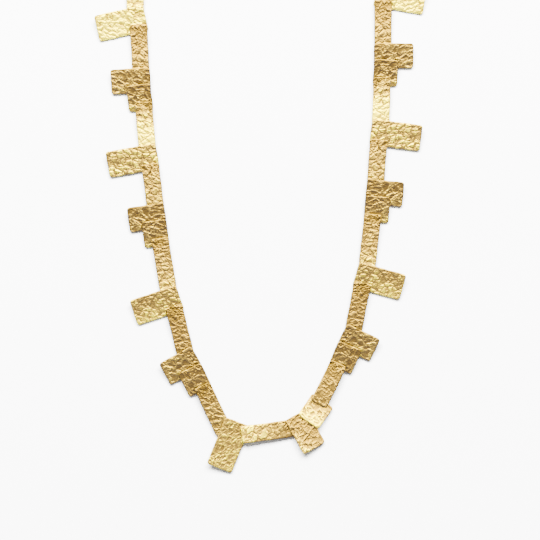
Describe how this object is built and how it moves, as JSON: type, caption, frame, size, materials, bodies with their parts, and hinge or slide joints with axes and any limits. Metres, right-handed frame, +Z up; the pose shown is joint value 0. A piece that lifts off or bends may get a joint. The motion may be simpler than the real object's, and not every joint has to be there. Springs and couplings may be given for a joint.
{
  "type": "link necklace",
  "caption": "Necklace of flat hammered gold plates that lap over each other like shingles on hidden rivets, laid open as a whole loop.",
  "frame": {"origin": "middle of the underside of the necklace's box, on the surface it lies on", "axes": "+Y from the front of the loop towards the clasp, +X to the right seen from above, +Z up from the surface"},
  "size_m": [0.11, 0.2156, 0.0028],
  "materials": {
    "hammered_gold": "hammered, satin gold",
    "plain_gold": "plain, satin gold"
  },
  "bodies": {
    "root": {"left_small_1": "hammered_gold", "left_medium_1": "hammered_gold", "left_strip_1": "hammered_gold", "left_wide_1": "hammered_gold", "left_strip_2": "hammered_gold", "left_small_2": "hammered_gold", "left_medium_2": "hammered_gold", "left_strip_3": "hammered_gold", "left_wide_2": "hammered_gold", "left_strip_4": "hammered_gold", "left_small_3": "hammered_gold", "left_medium_3": "hammered_gold", "left_strip_5": "hammered_gold", "left_wide_3": "hammered_gold", "left_strip_6": "hammered_gold", "bottom_left_strip": "hammered_gold", "bottom_wide": "hammered_gold", "centre_strip": "hammered_gold", "bottom_medium": "hammered_gold", "bottom_small": "hammered_gold", "bottom_right_strip": "hammered_gold", "right_small_1": "hammered_gold", "right_medium_1": "hammered_gold", "right_strip_1": "hammered_gold", "right_wide_1": "hammered_gold", "right_strip_2": "hammered_gold", "right_small_2": "hammered_gold", "right_medium_2": "hammered_gold", "right_strip_3": "hammered_gold", "right_wide_2": "hammered_gold", "right_strip_4": "hammered_gold", "right_small_3": "hammered_gold", "right_medium_3": "hammered_gold", "right_strip_5": "hammered_gold", "right_wide_3": "hammered_gold", "right_strip_6": "hammered_gold", "back_left_strip_1": "plain_gold", "back_left_strip_2": "plain_gold", "back_left_strip_3": "plain_gold", "back_left_strip_4": "plain_gold", "clasp": "plain_gold", "back_right_strip_4": "plain_gold", "back_right_strip_3": "plain_gold", "back_right_strip_2": "plain_gold", "back_right_strip_1": "plain_gold"}
  },
  "joints": []
}
